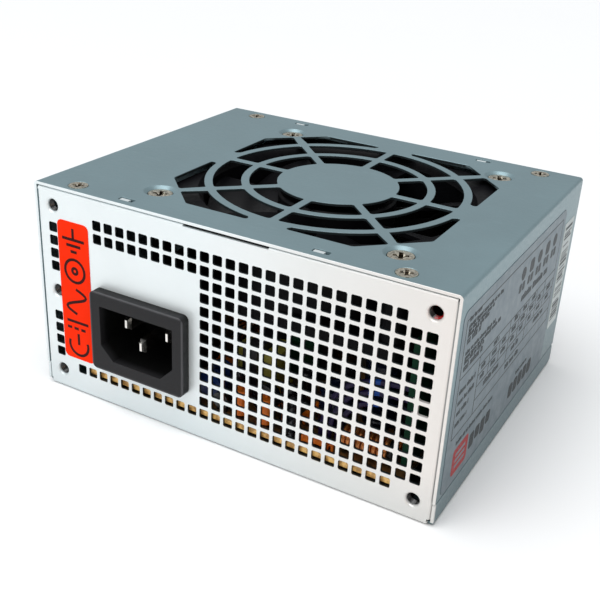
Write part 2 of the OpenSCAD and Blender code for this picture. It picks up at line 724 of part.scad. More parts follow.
// A heatsink in the XZ plane: a plate on two feet with fins towards -X.
module heatsink(x, y0, y1) {
    foot = 1;
    difference() {
        union() {
            along_y(y0, y1) translate([x, board_top + foot]) {
                square([3, heatsink_h - foot]);
                for (k = [0:4]) translate([-4.5, 4.5 + 4.6 * k]) square([4.6, 1.2]);
            }
            for (y = [y0 + 3, y1 - 6]) box([x + 0.8, y, board_top], [x + 2.2, y + 3, board_top + foot + 0.1]);
        }
        children();
    }
}

primary_x = -23;
primary_devices = [8, 27];
secondary_x = 19;
secondary_devices = [3, 16, 29];
device_foot = board_top + 8.4;
device_hole = device_foot + 12.3;

// Something bored or screwed along +X at each device's hole.
module device_axes(x, devices) {
    for (y = devices) translate([x, y, device_hole]) rotate([0, 90, 0]) children();
}

module primary_heatsink() {
    color([0.7, 0.71, 0.72]) heatsink(primary_x, -1, 40)
        device_axes(primary_x - 1, primary_devices) cylinder(r = 1.5 + thread_gap, h = 6);
}

module secondary_heatsink() {
    color([0.7, 0.71, 0.72]) translate([2 * secondary_x + 3, 0, 0]) mirror([1, 0, 0]) heatsink(secondary_x, -5, 37)
        device_axes(secondary_x - 1, secondary_devices) cylinder(r = 1.5 + thread_gap, h = 6);
}

// A three-legged power device whose back is at x = 0 and whose body stands out towards +X.
module power_device() {
    difference() {
        box([0, -5, device_foot + 8.8], [1.3, 5, device_foot + 15.4]);
        translate([-1, 0, device_hole]) rotate([0, 90, 0]) cylinder(r = 1.8, h = 4);
    }
    box([0, -5, device_foot], [4.5, 5, device_foot + 8.9]);
    for (y = [-2.54, 0, 2.54]) box([2.2, y - 0.4, board_top], [2.7, y + 0.4, device_foot + 0.1]);
}

pad_t = 0.3;

module power_transistors() {
    color([0.12, 0.12, 0.12]) for (y = primary_devices) translate([primary_x + 3 + pad_t, y, 0]) power_device();
}

module output_rectifiers() {
    color([0.12, 0.12, 0.12]) for (y = secondary_devices)
        translate([secondary_x - pad_t, y, 0]) mirror([1, 0, 0]) power_device();
}

module device_pad(x, y) {
    difference() {
        box([x, y - 6, device_foot - 1], [x + pad_t, y + 6, device_foot + 16.2]);
        translate([x - 1, y, device_hole]) rotate([0, 90, 0]) cylinder(r = 1.8, h = 4);
    }
}

module device_pads() {
    color([0.75, 0.75, 0.8]) {
        for (y = primary_devices) device_pad(primary_x + 3, y);
        for (y = secondary_devices) device_pad(secondary_x - pad_t, y);
    }
}

module device_screws() {
    color([0.75, 0.73, 0.68]) {
        device_axes(primary_x + 3 + pad_t + 1.3, primary_devices) pan_screw(0, 2.6, 1.5, 5);
        device_axes(secondary_x - pad_t - 1.3, secondary_devices) rotate([180, 0, 0]) pan_screw(0, 2.6, 1.5, 5);
    }
}

module bridge_rectifier() {
    color([0.13, 0.13, 0.13]) {
        box([-46.4, -22, board_top + 3], [-42.8, -3, board_top + 16]);
        for (k = [0:3]) box([-45, -20.4 + 4.9 * k, board_top], [-44.2, -19.2 + 4.9 * k, board_top + 3.1]);
    }
}

// An electrolytic capacitor: sleeve with a rolled groove, rounded shoulder and sunk top.
module can(r, h) {
    rotate_extrude() polygon([
        [0, board_top + 0.3], [r - 0.6, board_top + 0.3], [r, board_top + 0.9], [r, board_top + 2], [r - 0.5, board_top + 2.5],
        [r, board_top + 3], [r, board_top + h - 0.7], [r - 0.7, board_top + h], [r - 1.3, board_top + h],
        [r - 1.5, board_top + h - 0.3], [0, board_top + h - 0.3]]);
    disc(r - 1.2, board_top, board_top + 0.4);
}

module bulk_capacitors() {
    color([0.1, 0.12, 0.25]) at([[-37.2, 6.8], [-37.2, 25.8]]) can(9, 25.4);
}

// A ferrite core about [0, 0]: outer width w, thickness t along Y, height h, with two windows.
module ferrite_core(w, t, h) {
    leg = w / 7;
    difference() {
        box([-w / 2, -t / 2, 0], [w / 2, t / 2, h]);
        for (s = [-1, 1]) translate([s * (leg + w / 2 - leg) / 2 - (w / 2 - 2 * leg) / 2, -t, leg])
            cube([w / 2 - 2 * leg, 2 * t, h - 2 * leg]);
    }
}

// The winding around the middle leg of that core, wrapped in tape.
module core_winding(w, t, h, depth) {
    leg = w / 7;
    reach = w / 2 - leg - 0.3;
    translate([0, 0, leg + 0.2]) difference() {
        plate([rounded(0, 0, 2 * reach, depth, min(reach, depth / 2) * 0.45, 4)], h - 2 * leg - 0.4);
        translate([0, 0, -1]) linear_extrude(h) square([2 * leg + 0.2, t + 0.2], center = true);
    }
}

// The pins and moulded base under a transformer.
module bobbin_base(w, depth, z) {
    for (s = [-1, 1]) {
        translate([-w / 2, s * (depth / 2 - 1.2) - 1.2, 0.8]) cube([w, 2.4, z - 0.8]);
        for (k = [-2:2]) translate([k * w / 5.5 - 0.35, s * (depth / 2 - 1.2) - 0.35, 0]) cube([0.7, 0.7, 1]);
    }
}

module transformer_at() {
    translate([-0.5, 18, board_top]) children();
}

module transformer_core() {
    color([0.2, 0.2, 0.21]) transformer_at() ferrite_core(28, 11, 23.5);
}

module transformer_winding() {
    color([0.85, 0.75, 0.2]) transformer_at() {
        core_winding(28, 11, 23.5, 25);
        bobbin_base(18, 25, 4.3);
    }
}

module driver_at() {
    translate([1, -30, board_top]) rotate([0, 0, 90]) children();
}

module driver_core() {
    color([0.2, 0.2, 0.21]) driver_at() ferrite_core(16, 4.6, 17);
}

module driver_winding() {
    color([0.85, 0.78, 0.2]) driver_at() {
        core_winding(16, 4.6, 17, 13);
        bobbin_base(11, 13, 2.6);
    }
}

module standby_at() {
    translate([6, -13.5, board_top]) children();
}

module standby_core() {
    color([0.2, 0.2, 0.21]) standby_at() ferrite_core(16, 5, 15);
}

module standby_winding() {
    color([0.1, 0.35, 0.2]) standby_at() {
        core_winding(16, 5, 15, 13);
        bobbin_base(11, 13, 2.6);
    }
}

// A ring core about the Y axis, and the turns of wire around it.
module ring_core(major, minor) {
    rotate([90, 0, 0]) rotate_extrude() translate([major, 0]) circle(minor);
}

module ring_turns(major, minor, wire_r, angles) {
    for (a = angles) rotate([0, a, 0]) translate([major, 0, 0])
        rotate_extrude() translate([minor + wire_r + 0.05, 0]) circle(wire_r);
}

module toroid_at() {
    translate([38.5, 28, board_top + 12.4]) children();
}

module toroid_core() {
    color([0.85, 0.75, 0.25]) toroid_at() ring_core(7.5, 3.4);
}

module toroid_winding() {
    color([0.75, 0.38, 0.15]) toroid_at() ring_turns(7.5, 3.4, 0.5, [for (k = [0:14]) 24 * k]);
}

module line_filter_at() {
    translate([-14, -11, board_top + 9.6]) children();
}

module line_filter_core() {
    color([0.15, 0.2, 0.15]) line_filter_at() ring_core(5.6, 2.6);
}

module line_filter_windings() {
    color([0.75, 0.38, 0.15]) line_filter_at()
        ring_turns(5.6, 2.6, 0.5, concat([for (k = [-3:3]) 21 * k], [for (k = [-3:3]) 180 + 21 * k]));
}

module rod_choke_at() {
    translate([40.5, -43, board_top + 4.2]) children();
}

module rod_choke_core() {
    color([0.2, 0.2, 0.2]) rod_choke_at() rotate([0, 90, 0]) translate([0, 0, -7.5]) cylinder(r = 2.4, h = 15);
}

module rod_choke_winding() {
    color([0.85, 0.4, 0.15]) rod_choke_at() for (k = [-4:4])
        translate([1.45 * k, 0, 0]) rotate([0, 90, 0]) rotate_extrude() translate([3.15, 0]) circle(0.68);
}

module x_capacitor() {
    color([0.9, 0.75, 0.15]) {
        box([-42, -13.4, board_top + 0.5], [-24, -5.4, board_top + 15]);
        for (x = [-40.5, -26]) box([x, -9.9, board_top], [x + 0.7, -9, board_top + 0.6]);
    }
}

// A disc-shaped part standing on two leads, its faces towards Y.
module lead_disc(x, y, r, t) {
    translate([x, y + t / 2, board_top + r + 1.2]) rotate([90, 0, 0]) cylinder(r = r, h = t);
    for (s = [-1, 1]) box([x + s * r * 0.55 - 0.3, y - 0.3, board_top], [x + s * r * 0.55 + 0.3, y + 0.3, board_top + 2.6]);
}

module y_capacitors() {
    color([0.1, 0.35, 0.75]) {
        lead_disc(-8, -43, 4, 3);
        lead_disc(-8.6, -37.2, 4, 3);
    }
}

module fuse() {
    color([0.8, 0.82, 0.82]) translate([-27, -43.6, board_top + 3]) rotate([0, 90, 0]) {
        translate([0, 0, -7]) cylinder(r = 2.2, h = 14);
        for (z = [-10, 6.5]) translate([0, 0, z]) cylinder(r = 2.6, h = 3.5);
        for (z = [-9, 7.4]) translate([0, -0.6, z]) cube([3, 1.2, 1.6]);
    }
}

module thermistor() {
    color([0.1, 0.25, 0.15]) translate([-44, -32.5, board_top]) {
        translate([-2, 0, 7.6]) rotate([0, 90, 0]) cylinder(r = 6.2, h = 4);
        for (s = [-1, 1]) box([-0.4, 3.4 * s - 0.4, 0], [0.4, 3.4 * s + 0.4, 3]);
    }
}

module output_capacitors() {
    color([0.12, 0.2, 0.5]) {
        at([[36, -26.5], [33.5, -13], [33.5, -1], [33.5, 11]]) can(4.9, 20);
        at([[44.5, 10], [44.5, -15]]) can(4, 12.5);
        translate([27, -35, 0]) can(4.9, 12);
    }
}

module small_capacitors() {
    color([0.1, 0.1, 0.12]) {
        at([[15.5, -40.5], [19, -45.9], [15.2, -31], [24, -22], [-0.5, -40.9], [45, -31]]) can(2.5, 11);
        lead_disc(8, -40.6, 4.2, 2.6);
        lead_disc(-2.5, -46, 2.4, 2);
    }
}

// Small resistors lying on the board at [x, y, turn], and two larger ones standing on end.
module resistors() {
    color([0.8, 0.45, 0.2]) {
        for (p = [[10.5, -33, 90], [27.5, -46.4, 0], [19.6, -35, 90], [-14, -25, 0], [44, -36.5, 0]])
            translate([p[0], p[1], board_top + 1.7]) rotate([0, 0, p[2]]) rotate([0, 90, 0]) {
                translate([0, 0, -3]) cylinder(r = 1.1, h = 6);
                for (z = [-3.4, 1.9]) translate([0, 0, z]) cylinder(r = 1.35, h = 1.5);
                for (z = [-4.6, 4.2]) translate([-0.3, -0.3, z]) cube([2, 0.6, 0.6]);
                translate([0, 0, -4.4]) cylinder(r = 0.3, h = 8.8);
            }
        at([[3.3, -45.4], [11.3, -45.4]]) {
            disc(1.5, board_top + 1.2, board_top + 8.4);
            for (z = [1, 6.8]) disc(1.8, board_top + z, board_top + z + 1.8);
            disc(0.35, board_top, board_top + 1.3);
            box([-0.3, -0.3, board_top + 8.5], [0.3, 2.6, board_top + 9.1]);
            box([-0.3, 2, board_top], [0.3, 2.6, board_top + 8.6]);
        }
    }
}

module control_board() {
    color([0.05, 0.35, 0.2]) difference() {
        box([50.2, -44, board_top], [51.8, -10, 46]);
        for (z = [40, 20]) translate([49, -14, z]) rotate([0, 90, 0]) cylinder(r = 1.2, h = 4);
    }
}

module control_chips() {
    color([0.1, 0.1, 0.1]) {
        box([46.8, -34, 22], [49.4, -15, 28.5]);
        for (k = [0:6], s = [-1, 1]) box([48, -32.6 + 2.54 * k, 25.25 + 3.25 * s - 0.3], [50.2, -32.1 + 2.54 * k, 25.25 + 3.25 * s + 0.3]);
        box([48.2, -34, 34], [50.2, -28, 38]);
        box([48.2, -22, 34], [50.2, -17, 38]);
    }
}

module control_wires() {
    color([0.35, 0.15, 0.55]) for (k = [0:2])
        wire(curve([[26.8 + 2.4 * k, -43.4, board_top + 0.1], [26.8 + 2.4 * k, -43.4, 30 - 2 * k],
            [40 + k, -42.8 + 0.2 * k, 32 - 3.4 * k], [50.05, -42.8 + 0.2 * k, 32 - 3.4 * k]], 14), 0.75, [0, 1, 0]);
}

cover();
base_tray();
cover_screws();
fan_screws();
voltage_label();
rating_label();
serial_label();
cable_bushing();
insulation_sheet();
inlet_housing();
inlet_line_pins();
inlet_earth_pin();
mains_wires();
earth_wire();
earth_screw();
fan_frame();
fan_impeller();
fan_rotor_cup();
fan_magnet();
fan_shaft();
fan_bearing();
fan_shaft_clip();
fan_stator();
fan_coils();
fan_circuit_board();
fan_leads();
fan_plug();
main_board();
board_standoffs();
board_screws();
primary_heatsink();
secondary_heatsink();
power_transistors();
output_rectifiers();
device_pads();
device_screws();
bridge_rectifier();
bulk_capacitors();
transformer_core();
transformer_winding();
driver_core();
driver_winding();
standby_core();
standby_winding();
toroid_core();
toroid_winding();
rod_choke_core();
rod_choke_winding();
line_filter_core();
line_filter_windings();
x_capacitor();
y_capacitors();
fuse();
thermistor();
output_capacitors();
small_capacitors();
resistors();
control_board();
control_chips();
control_wires();
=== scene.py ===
import json
import math
import random

import bpy
from mathutils import Matrix, Vector


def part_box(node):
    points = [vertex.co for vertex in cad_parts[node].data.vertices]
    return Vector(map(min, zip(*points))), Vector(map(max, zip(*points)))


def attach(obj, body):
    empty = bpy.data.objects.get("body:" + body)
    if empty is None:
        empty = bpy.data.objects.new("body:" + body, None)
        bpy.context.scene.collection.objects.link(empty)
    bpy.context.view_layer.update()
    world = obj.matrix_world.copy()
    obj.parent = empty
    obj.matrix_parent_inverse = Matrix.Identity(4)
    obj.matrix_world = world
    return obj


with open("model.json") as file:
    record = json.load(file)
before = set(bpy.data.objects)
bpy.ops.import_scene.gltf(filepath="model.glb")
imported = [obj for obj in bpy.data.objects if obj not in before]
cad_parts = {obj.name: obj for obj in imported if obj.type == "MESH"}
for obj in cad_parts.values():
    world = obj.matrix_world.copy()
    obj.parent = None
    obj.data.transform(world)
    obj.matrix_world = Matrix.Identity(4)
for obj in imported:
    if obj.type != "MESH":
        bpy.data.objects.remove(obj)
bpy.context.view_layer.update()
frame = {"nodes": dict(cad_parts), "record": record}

MM = 0.001
scene = bpy.context.scene
nodes = frame["nodes"]


# ---- Camera and light ----

CAMERA_PLACE = (0.120, -0.231, 0.1515)
CAMERA_ANGLES = (118.4, -26.0, 3.1)  # azimuth of the view from +X towards +Y, elevation and roll, in degrees
CAMERA_LENS = 57
SUN_DIRECTION = (0.10, 0.32, -1)


def place_camera():
    """A long lens above the right end of the inlet panel, rolled a little."""
    azimuth, elevation, roll = (math.radians(angle) for angle in CAMERA_ANGLES)
    forward = Vector((math.cos(elevation) * math.cos(azimuth),
                      math.cos(elevation) * math.sin(azimuth),
                      math.sin(elevation)))
    right = forward.cross(Vector((0, 0, 1))).normalized()
    up = right.cross(forward)
    side = math.cos(roll) * right + math.sin(roll) * up
    top = math.cos(roll) * up - math.sin(roll) * right
    data = bpy.data.cameras.new("camera")
    data.sensor_width = 36
    data.lens = CAMERA_LENS
    data.clip_start = 0.01
    data.clip_end = 50
    camera = bpy.data.objects.new("camera", data)
    turn = Matrix((side, top, -forward)).transposed().to_4x4()
    camera.matrix_world = Matrix.Translation(CAMERA_PLACE) @ turn
    scene.collection.objects.link(camera)
    scene.camera = camera


def add_light(name, data, direction):
    """Links a light that shines along direction."""
    light = bpy.data.objects.new(name, data)
    light.rotation_mode = "QUATERNION"
    light.rotation_quaternion = direction.to_track_quat("-Z", "Y")
    scene.collection.objects.link(light)
    return light


def area_light(name, place, aim, size, power, colour=(1, 1, 1)):
    data = bpy.data.lights.new(name, "AREA")
    data.shape = "RECTANGLE"
    data.size, data.size_y = size
    data.energy = power
    data.color = colour
    light = add_light(name, data, Vector(aim) - Vector(place))
    light.location = place


def light_the_studio():
    """A broad soft light from above, a softbox in front, a small warm card at the right, a dim surround."""
    data = bpy.data.lights.new("overhead", "SUN")
    data.energy = 2.6
    data.angle = math.radians(60)
    data.color = (0.98, 0.99, 1.0)
    add_light("overhead", data, Vector(SUN_DIRECTION))
    area_light("front_light", (-0.50, -0.85, 0.42), (0, 0, 0.03), (1.0, 0.7), 1.62)
    area_light("right_card", (0.45, -0.55, 0.12), (0.05, -0.05, 0.03), (0.3, 0.3), 0.42, (1.0, 0.74, 0.58))
    world = bpy.data.worlds.new("studio")
    world.use_nodes = True
    background = world.node_tree.nodes["Background"]
    background.inputs["Color"].default_value = (0.95, 0.98, 1.0, 1)
    background.inputs["Strength"].default_value = 0.38
    scene.world = world
    scene.view_settings.view_transform = "Standard"


# ---- How a material is built ----

class Look:
    """A material under construction: a Principled shader and the nodes that feed it."""

    def __init__(self, name):
        self.material = bpy.data.materials.new(name)
        self.material.use_nodes = True
        self.tree = self.material.node_tree
        self.shader = self.tree.nodes["Principled BSDF"]
        self.place = self.add("ShaderNodeTexCoord").outputs["Object"]

    def add(self, kind, **settings):
        node = self.tree.nodes.new(kind)
        for key, value in settings.items():
            setattr(node, key, value)
        return node

    def feed(self, target, value):
        """Links value to the socket target if it is a socket, and sets it there if it is a number."""
        if isinstance(value, bpy.types.NodeSocket):
            self.tree.links.new(value, target)
        else:
            target.default_value = value

    def stretched(self, scale):
        node = self.add("ShaderNodeMapping")
        self.feed(node.inputs["Vector"], self.place)
        node.inputs["Scale"].default_value = scale
        return node.outputs["Vector"]

    def noise(self, scale, detail=2.0, rough=0.5, place=None):
        node = self.add("ShaderNodeTexNoise")
        self.feed(node.inputs["Vector"], place or self.place)
        for key, value in (("Scale", scale), ("Detail", detail), ("Roughness", rough)):
            node.inputs[key].default_value = value
        return node.outputs["Fac"]

    def ramp(self, value, low, high, from_low=0.3, from_high=0.7):
        """Runs from low to high while value runs from from_low to from_high, and stays level beyond."""
        node = self.add("ShaderNodeMapRange")
        for key, number in (("Value", value), ("From Min", from_low), ("From Max", from_high),
                            ("To Min", low), ("To Max", high)):
            self.feed(node.inputs[key], number)
        return node.outputs["Result"]

    def mix(self, share, first, second):
        """The first colour where share is 0 and the second where it is 1."""
        node = self.add("ShaderNodeMix", data_type="RGBA")
        self.feed(node.inputs[0], share)
        for target, value in ((node.inputs[6], first), (node.inputs[7], second)):
            self.feed(target, value if isinstance(value, bpy.types.NodeSocket) else (*value, 1))
        return node.outputs[2]

    def maths(self, kind, first, second=0.0):
        node = self.add("ShaderNodeMath", operation=kind)
        self.feed(node.inputs[0], first)
        self.feed(node.inputs[1], second)
        return node.outputs[0]

    def distance(self, value, middle):
        """How far value is from middle, whichever side it is on."""
        return self.maths("ABSOLUTE", self.maths("SUBTRACT", value, middle))

    def axes(self):
        """The surface's own x, y and z, in metres."""
        split = self.add("ShaderNodeSeparateXYZ")
        self.feed(split.inputs[0], self.place)
        return split.outputs

    def bump(self, height, strength, distance):
        node = self.add("ShaderNodeBump")
        self.feed(node.inputs["Height"], height)
        node.inputs["Strength"].default_value = strength
        node.inputs["Distance"].default_value = distance
        self.feed(self.shader.inputs["Normal"], node.outputs["Normal"])

    def colour(self, value):
        self.feed(self.shader.inputs["Base Color"], value)

    def set(self, **numbers):
        """Feeds the shader's sockets, named in lower case with underscores."""
        for key, value in numbers.items():
            self.feed(self.shader.inputs[key.replace("_", " ").title().replace("Ior", "IOR")], value)


def shade(base, amount):
    return tuple(min(1.0, channel * amount) for channel in base)


# ---- Where the materials change, in metres ----

def mount(name):
    return next(entry for entry in frame["record"]["mounts"] if entry["name"] == name)


CORNER_HOLES = mount("case_mount_holes")
MIDDLE_HOLE = mount("middle_mount_hole")
HOLES_ACROSS = CORNER_HOLES["dims"]["spacing_x_mm"] / 2 * MM  # from the panel's middle to the corner holes
HOLES_UP = CORNER_HOLES["dims"]["spacing_y_mm"] / 2 * MM
MIDDLE_HEIGHT = CORNER_HOLES["pos_m"][2]
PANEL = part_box("base_tray")[0].y        # the inlet panel's outer face
CASE_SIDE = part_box("cover")[1].x
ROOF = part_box("cover")[1].z
FAN_X = sum(corner.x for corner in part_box("fan_frame")) / 2
GRILLE_REACH = 46.2 * MM                # from the fan's middle to the ends of the grille's openings
MESH_REACH = 25.5 * MM                  # from the panel's middle height to the ends of its mesh
HOLE_CLEAR = 3.0 * MM                   # kept free of the painted shade on the mesh's walls around each mounting hole
FOOT_SHADE_REACH = 42 * MM                    # how far up the case the painted shade at its foot reaches
PANEL_FOOT_SHADE = (1 * MM, 16 * MM)           # the heights between which the painted shade at the inlet panel's foot fades out
WARM_LIGHT_SPAN = (-10 * MM, 60 * MM)         # where painted warm light on the inlet panel comes in, along X
PAINT_START = HOLES_ACROSS - 0.5 * MM   # the locking paint covers the right part of its hole
LEAD_SLEEVE = (39.4 * MM, 42.4 * MM)    # the blue sleeve on the control leads, along X


# ---- Materials ----

ZINC = (0.222, 0.316, 0.345)
# Painted light: the same zinc lit brighter, for the inlet panel and the tray's tabs.
PAINTED_LIT_ZINC = (0.78, 0.835, 0.845)
# Painted warm light on the same zinc, for the inlet panel's right part.
WARM_LIT_ZINC = (0.72, 0.690, 0.66)
SCREW_FACE = (0.74, 0.68, 0.56)
# Painted shade for the screws' recesses and shanks.
SCREW_SHADE = (0.06, 0.045, 0.03)


def plain(name, base, rough=0.5, metallic=0.0, spread=0.12, blotch=300, grain=4000, bump=0.15, specular=0.5):
    """A moulded, painted or cast surface: soft colour blotches, uneven gloss and a fine grain."""
    look = Look(name)
    look.colour(look.mix(look.noise(blotch, 3), shade(base, 1 - spread), shade(base, 1 + spread)))
    gloss = look.ramp(look.noise(blotch * 3, 3), rough * 0.85, min(1, rough * 1.15))
    look.set(roughness=gloss, metallic=metallic, specular_ior_level=specular)
    look.bump(look.noise(grain, 2), bump, 0.03 * MM)
    return look.material


def zinc_sheet(name, rough, start, end):
    """Zinc-coated steel: soft clouds in the coat, a faint rolling grain along X and a few fine scuffs.

    The dull coat darkens towards the foot, as painted shade. The inlet side is a brighter copy of the same
    zinc, as painted light, with painted warm light towards the right and painted shade at its foot, and the
    change from it to the dull coat runs from start to end along Y.
    Returns the look, its colour and its own x, y and z, so that more can be laid over it.
    """
    look = Look(name)
    place = look.axes()
    cloud = look.noise(28, 4, 0.6)
    clouds = look.ramp(cloud, 0, 1)
    grain = look.noise(900, 2, 0.5, look.stretched((0.5, 1, 1)))
    scuff = look.noise(260, 5, 0.75, look.stretched((0.35, 1, 0.8)))
    dull = look.mix(clouds, shade(ZINC, 0.95), shade(ZINC, 1.05))
    dull = look.mix(look.ramp(scuff, 0, 0.15, 0.58, 0.74), dull, shade(ZINC, 1.5))
    # Painted shade: the dull coat darkens towards the foot.
    dull = look.mix(look.ramp(place[2], 0.75, 0, 0, FOOT_SHADE_REACH), dull, shade(ZINC, 0.5))
    # Painted light: a brighter copy of the zinc on the inlet side.
    lit_face = look.mix(clouds, shade(PAINTED_LIT_ZINC, 0.95), shade(PAINTED_LIT_ZINC, 1.02))
    # Painted warm light towards the inlet panel's right.
    warm = look.mix(clouds, WARM_LIT_ZINC, shade(WARM_LIT_ZINC, 1.05))
    lit_face = look.mix(look.ramp(place[0], 0, 1, *WARM_LIGHT_SPAN), lit_face, warm)
    # Painted shade at the inlet panel's foot.
    lit_face = look.mix(look.ramp(place[2], 0.25, 0, *PANEL_FOOT_SHADE), lit_face, ZINC)
    colour = look.mix(look.ramp(place[1], 0, 1, start, end), lit_face, dull)
    rolled = look.ramp(grain, rough - 0.05, rough + 0.05)
    look.set(metallic=0.45, roughness=look.maths("ADD", rolled, look.ramp(cloud, -0.03, 0.04)))
    look.bump(look.maths("ADD", look.ramp(grain, 0, 0.4), look.ramp(scuff, 0, 1)), 0.12, 0.02 * MM)
    return look, colour, place


def cover_sheet(name):
    """The cover's sheet, with painted shade on the grille's cut walls and in the dish below each screw's
    head.
    """
    look, colour, (x, y, z) = zinc_sheet(name, 0.40, PANEL + 0.05 * MM, PANEL + 0.15 * MM)
    squares = [look.maths("POWER", look.maths("SUBTRACT", value, middle), 2)
               for value, middle in ((x, FAN_X), (y, 0))]
    from_fan = look.maths("SQRT", look.maths("ADD", *squares))
    # Painted shade on the grille's cut walls, and below them under the roof.
    walls = look.maths("MULTIPLY", look.ramp(z, 1, 0, ROOF - 0.22 * MM, ROOF - 0.12 * MM),
                       look.ramp(from_fan, 1, 0, GRILLE_REACH - 0.4 * MM, GRILLE_REACH))
    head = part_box("fan_screws")[1].z
    inside = look.maths("LESS_THAN", look.maths("ABSOLUTE", x), CASE_SIDE - 1.2 * MM)
    # Painted shade in the dish below each fan screw's head.
    dish_shade = look.maths("MULTIPLY", look.ramp(z, 1, 0, head - 0.2 * MM, head), inside)
    look.colour(look.mix(look.maths("MAXIMUM", walls, dish_shade), colour, shade(ZINC, 0.12)))
    return look.material


def tray_sheet(name):
    """The tray's sheet: a painted highlight on the tabs in the cover's windows, painted shade on the mesh's
    cut walls.
    """
    look, colour, (x, y, z) = zinc_sheet(name, 0.42, PANEL + 0.7 * MM, PANEL + 1.1 * MM)
    across = look.maths("ABSOLUTE", x)
    up = look.distance(z, MIDDLE_HEIGHT)
    beside = look.distance(across, HOLES_ACROSS)
    level = look.maths("MINIMUM", up, look.distance(up, HOLES_UP))
    mesh = look.maths("GREATER_THAN", look.maths("MAXIMUM", beside, level), HOLE_CLEAR)
    for value, limit in ((across, CASE_SIDE - 2.5 * MM), (up, MESH_REACH), (y, PANEL + 0.8 * MM)):
        mesh = look.maths("MULTIPLY", mesh, look.maths("LESS_THAN", value, limit))
    # Painted shade on the mesh's cut walls.
    walls = look.maths("MULTIPLY", mesh, look.ramp(y, 0, 1, PANEL + 0.08 * MM, PANEL + 0.18 * MM))
    # Painted highlight on the tabs in the cover's windows.
    tabs = look.ramp(z, 0, 1, ROOF - 0.8 * MM, ROOF - 0.6 * MM)
    look.colour(look.mix(tabs, look.mix(walls, colour, shade(ZINC, 0.10)), PAINTED_LIT_ZINC))
    return look.material


def screw_head(node):
    """Plated screw: a worn flat face, a painted highlight on the recess's upper walls, painted shade on its
    floor and the shank below.
    """
    look = Look(node + "_steel")
    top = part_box(node)[1].z
    height = look.axes()[2]
    wear = look.noise(1400, 3, 0.7)
    flat = look.mix(look.ramp(wear, 0, 1, 0.4, 0.6), shade(SCREW_FACE, 0.55), shade(SCREW_FACE, 1.15))
    # Painted highlight on the recess's upper walls, broken by painted shade.
    walls = look.mix(look.ramp(wear, 0, 1, 0.42, 0.5), SCREW_SHADE, shade(SCREW_FACE, 1.35))
    # Painted shade on the recess's floor and on the shank.
    recess = look.mix(look.ramp(height, 1, 0, top - 0.7 * MM, top - 0.5 * MM), walls, SCREW_SHADE)
    look.colour(look.mix(look.ramp(height, 1, 0, top - 0.12 * MM, top - 0.04 * MM), flat, recess))
    look.set(metallic=0.9, roughness=look.ramp(wear, 0.2, 0.38))
    look.bump(wear, 0.3, 0.04 * MM)
    return look.material


def inlet_moulding(name):
    """Grained black plastic, with a painted highlight along the flange's outer edge and painted shade inside
    the socket.
    """
    look = Look(name)
    low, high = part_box("inlet_housing")
    x, y, z = look.axes()
    # Painted shade deeper into the socket.
    depth = look.ramp(y, 0, 1, low.y + 0.1 * MM, low.y + 3.0 * MM)
    fleck = look.noise(5000, 2)
    face = look.mix(fleck, (0.008, 0.008, 0.009), (0.028, 0.028, 0.030))
    body = look.mix(depth, face, (0.003, 0.003, 0.003))
    beyond = [look.maths("SUBTRACT", look.distance(value, (end + start) / 2), (end - start) / 2)
              for value, start, end in ((x, low.x, high.x), (z, low.z, high.z))]
    # Painted highlight along the flange's outer edge.
    rim = look.ramp(look.maths("MAXIMUM", *beyond), 0, 1, -0.6 * MM, -0.1 * MM)
    rim = look.maths("MULTIPLY", rim, look.ramp(y, 1, 0, low.y + 0.2 * MM, low.y + 0.5 * MM))
    look.colour(look.mix(rim, body, (0.075, 0.075, 0.080)))
    look.set(roughness=look.ramp(look.noise(900, 3), 0.38, 0.5), specular_ior_level=0.14)
    look.bump(fleck, 0.35, 0.04 * MM)
    return look.material


def label_foil(name):
    """Silvered film: soft blotches, a fine grain and painted shade towards its lower edge."""
    look = Look(name)
    film = look.mix(look.noise(120, 3), (0.160, 0.205, 0.235), (0.180, 0.232, 0.262))
    # Painted shade towards the label's lower edge.
    look.colour(look.mix(look.ramp(look.axes()[2], 0.6, 0, 5 * MM, FOOT_SHADE_REACH), film, (0.085, 0.120, 0.140)))
    look.set(roughness=look.ramp(look.noise(360, 3), 0.38, 0.52), metallic=0.35)
    look.bump(look.noise(5000, 2), 0.1, 0.03 * MM)
    return look.material


def lead_insulation(name):
    """Purple wire insulation with a blue sleeve over part of its length."""
    look = Look(name)
    across = look.axes()[0]
    start, end = LEAD_SLEEVE
    sleeved = look.maths("MULTIPLY", look.maths("GREATER_THAN", across, start),
                         look.maths("LESS_THAN", across, end))
    purple = (0.016, 0.008, 0.060)
    bare = look.mix(look.noise(400, 2), shade(purple, 0.8), shade(purple, 1.2))
    look.colour(look.mix(sleeved, bare, (0.005, 0.08, 0.42)))
    look.set(roughness=look.ramp(look.noise(900, 2), 0.3, 0.45))
    return look.material


def thread_steel(name):
    """Tapped steel, darkened by painted shade inside the holes, with red locking paint on the right part of
    the hole at the upper right.
    """
    look = Look(name)
    x, _, z = look.axes()
    painted = look.maths("MULTIPLY", look.maths("GREATER_THAN", x, PAINT_START),
                         look.maths("GREATER_THAN", z, MIDDLE_HEIGHT))
    wear = look.noise(900, 3)
    # Painted shade: the steel is darkened to near black inside the holes.
    steel = look.mix(wear, (0.02, 0.02, 0.02), (0.07, 0.07, 0.07))
    paint = look.mix(wear, (0.24, 0.004, 0.005), (0.42, 0.012, 0.012))
    look.colour(look.mix(painted, steel, paint))
    look.set(roughness=look.ramp(wear, 0.12, 0.25), metallic=look.maths("SUBTRACT", 0.9, painted))
    return look.material


